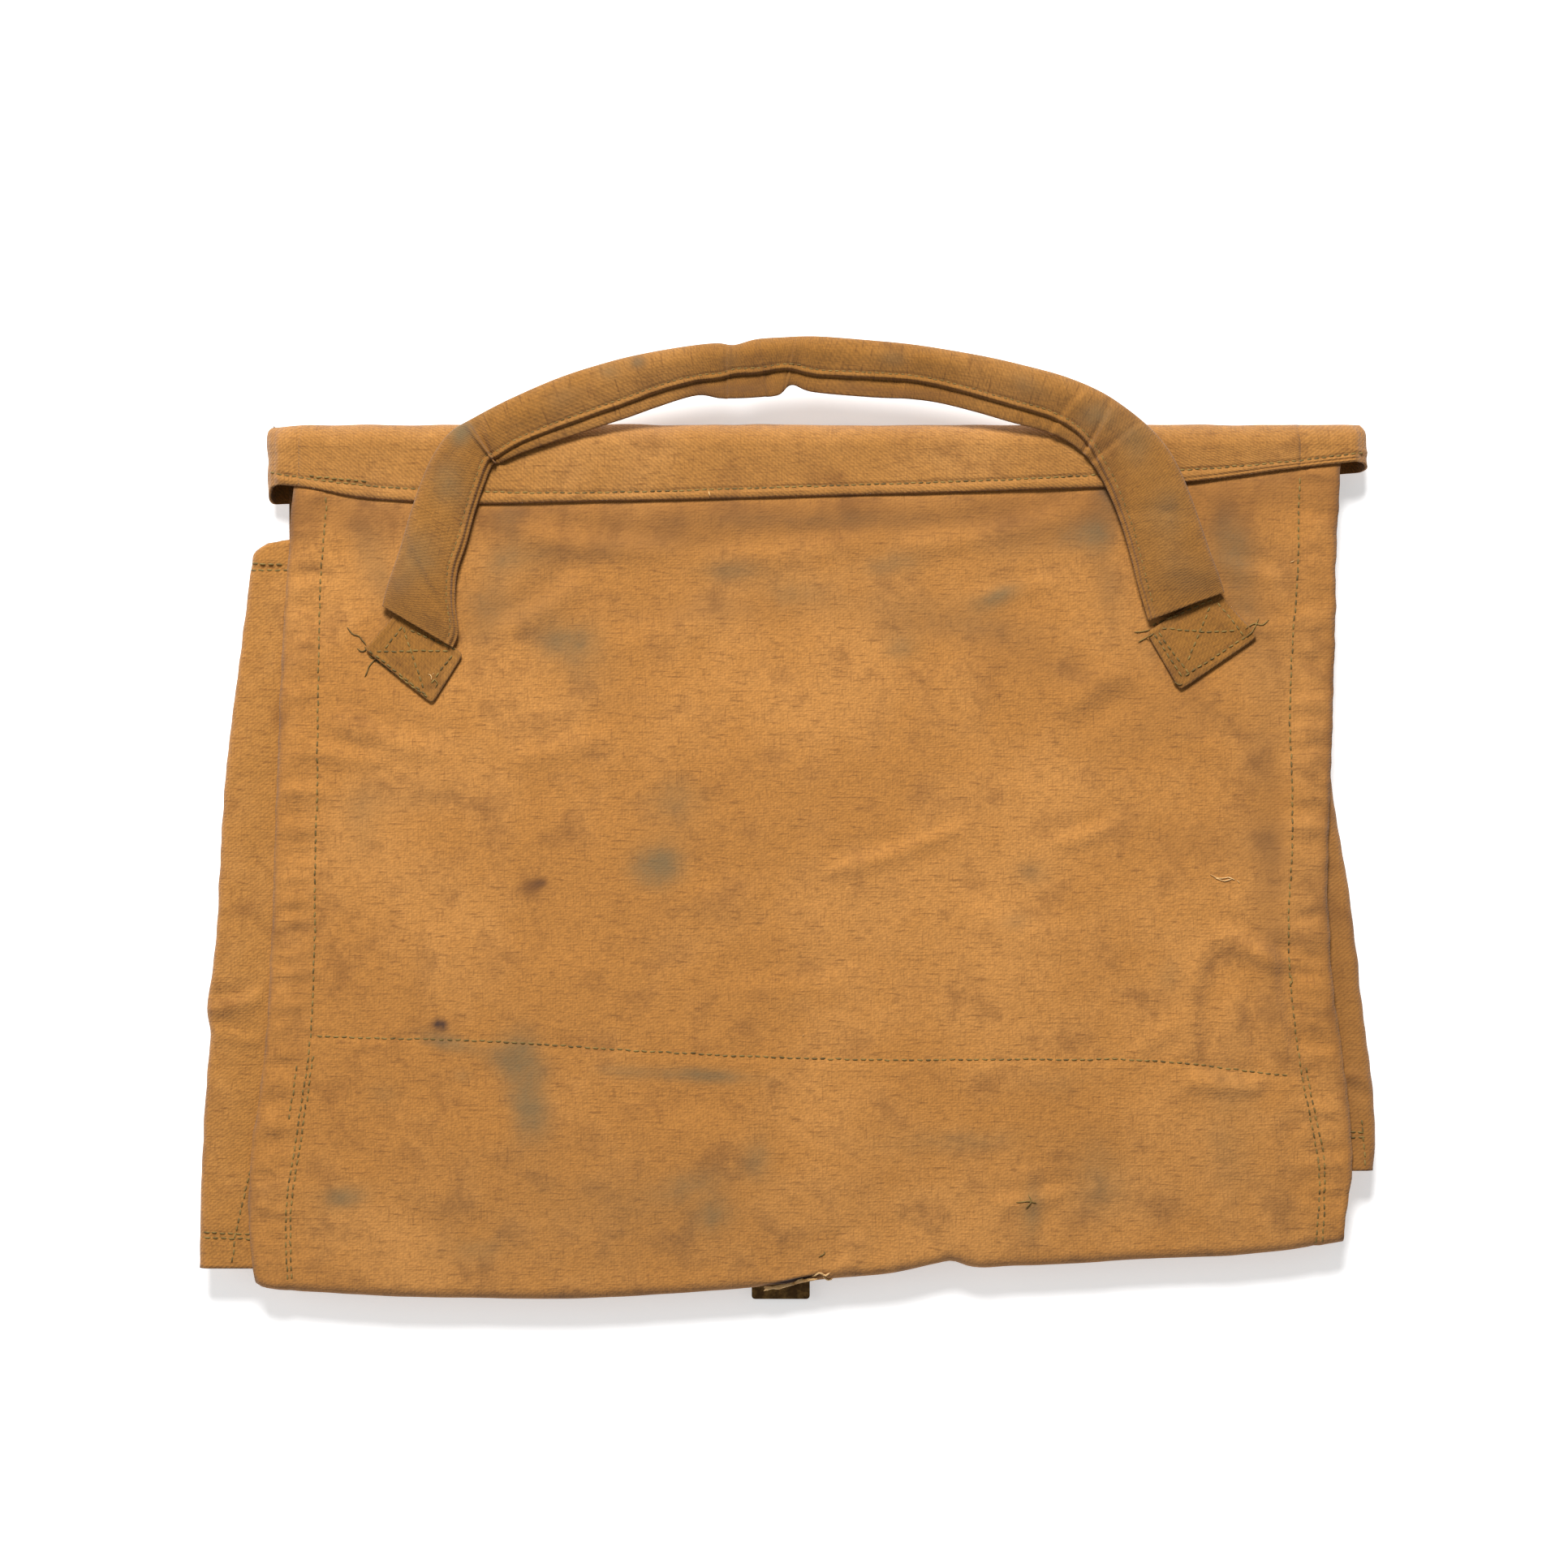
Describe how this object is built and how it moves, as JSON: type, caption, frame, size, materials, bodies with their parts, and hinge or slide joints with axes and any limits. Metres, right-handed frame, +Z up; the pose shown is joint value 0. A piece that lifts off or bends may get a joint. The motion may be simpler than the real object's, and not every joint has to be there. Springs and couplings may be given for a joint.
{
  "type": "mail sack",
  "caption": "Empty flat canvas mail satchel with a padded carrying handle, a fold-over lid closed by a metal-tipped strap and buckle, and folded side gussets.",
  "frame": {"origin": "bottom centre of the bounding box, on the surface that the sack lies on", "axes": "+X along the mouth, to the right seen from above; +Y from the base fold to the mouth and handle; +Z up, out of the back panel"},
  "size_m": [0.4146, 0.3392, 0.0263],
  "materials": {
    "canvas": "tan cotton duck, worn and stained, matt",
    "canvas_inner": "the same duck on inner and shaded pieces",
    "webbing": "olive-tan cotton webbing",
    "thread": "waxed khaki sewing thread",
    "aged_brass": "dark olive-brown tarnish, dull",
    "felt": "cotton felt wadding"
  },
  "bodies": {
    "sack": {"back_panel": "canvas", "base_lining": "canvas_inner", "gusset_left": "canvas_inner", "gusset_right": "canvas_inner", "base_fold": "canvas", "lid_band": "canvas", "lid_end_left": "canvas_inner", "lid_end_right": "canvas_inner", "lid_fold": "canvas", "handle_tab_left": "canvas", "handle_tab_right": "canvas", "handle_patch_left": "canvas_inner", "handle_patch_right": "canvas_inner", "seam_left": "thread", "seam_right": "thread", "seam_lining": "thread", "seam_lid": "thread"},
    "front": {"front_panel": "canvas", "front_facing": "canvas_inner", "buckle_chape": "webbing"},
    "lid": {"lid_leaf": "canvas", "lid_hem_left": "canvas_inner", "lid_hem_right": "canvas_inner", "strap_anchor": "webbing"},
    "strap": {"strap_tail": "webbing", "strap_tip": "aged_brass"},
    "buckle": {"buckle_frame": "aged_brass"},
    "handle": {"handle_cover": "canvas", "handle_core": "felt"}
  },
  "joints": [
    {"name": "lid_fold", "type": "hinge", "parent": "sack", "child": "lid", "pos_m": [0.01, 0.134, 0.007], "axis": [1, 0, 0], "range_deg": [0, 175], "deforming": ["lid_fold"]},
    {"name": "front_open", "type": "hinge", "parent": "sack", "child": "front", "pos_m": [0.00415, -0.1533, 0.0121], "axis": [-0.999, -0.0455, 0], "range_deg": [0, 6], "deforming": ["base_fold", "gusset_left", "gusset_right"]},
    {"name": "strap_flex", "type": "hinge", "parent": "lid", "child": "strap", "pos_m": [-0.0023, -0.06267, 0.0019], "axis": [1, 0, 0], "range_deg": [0, 110]},
    {"name": "buckle_swing", "type": "hinge", "parent": "front", "child": "buckle", "pos_m": [-0.0023, -0.11317, 0.00517], "axis": [-1, 0, 0], "range_deg": [0, 55]},
    {"name": "handle_swing", "type": "hinge", "parent": "sack", "child": "handle", "pos_m": [0.0056, 0.0665, 0.02245], "axis": [1, 0, 0], "range_deg": [0, 170]}
  ],
  "couplings": [
    {"joint": "front_open", "follows": "lid_fold", "ratio": 0.0342},
    {"joint": "buckle_swing", "follows": "strap_flex", "ratio": 0.5}
  ]
}
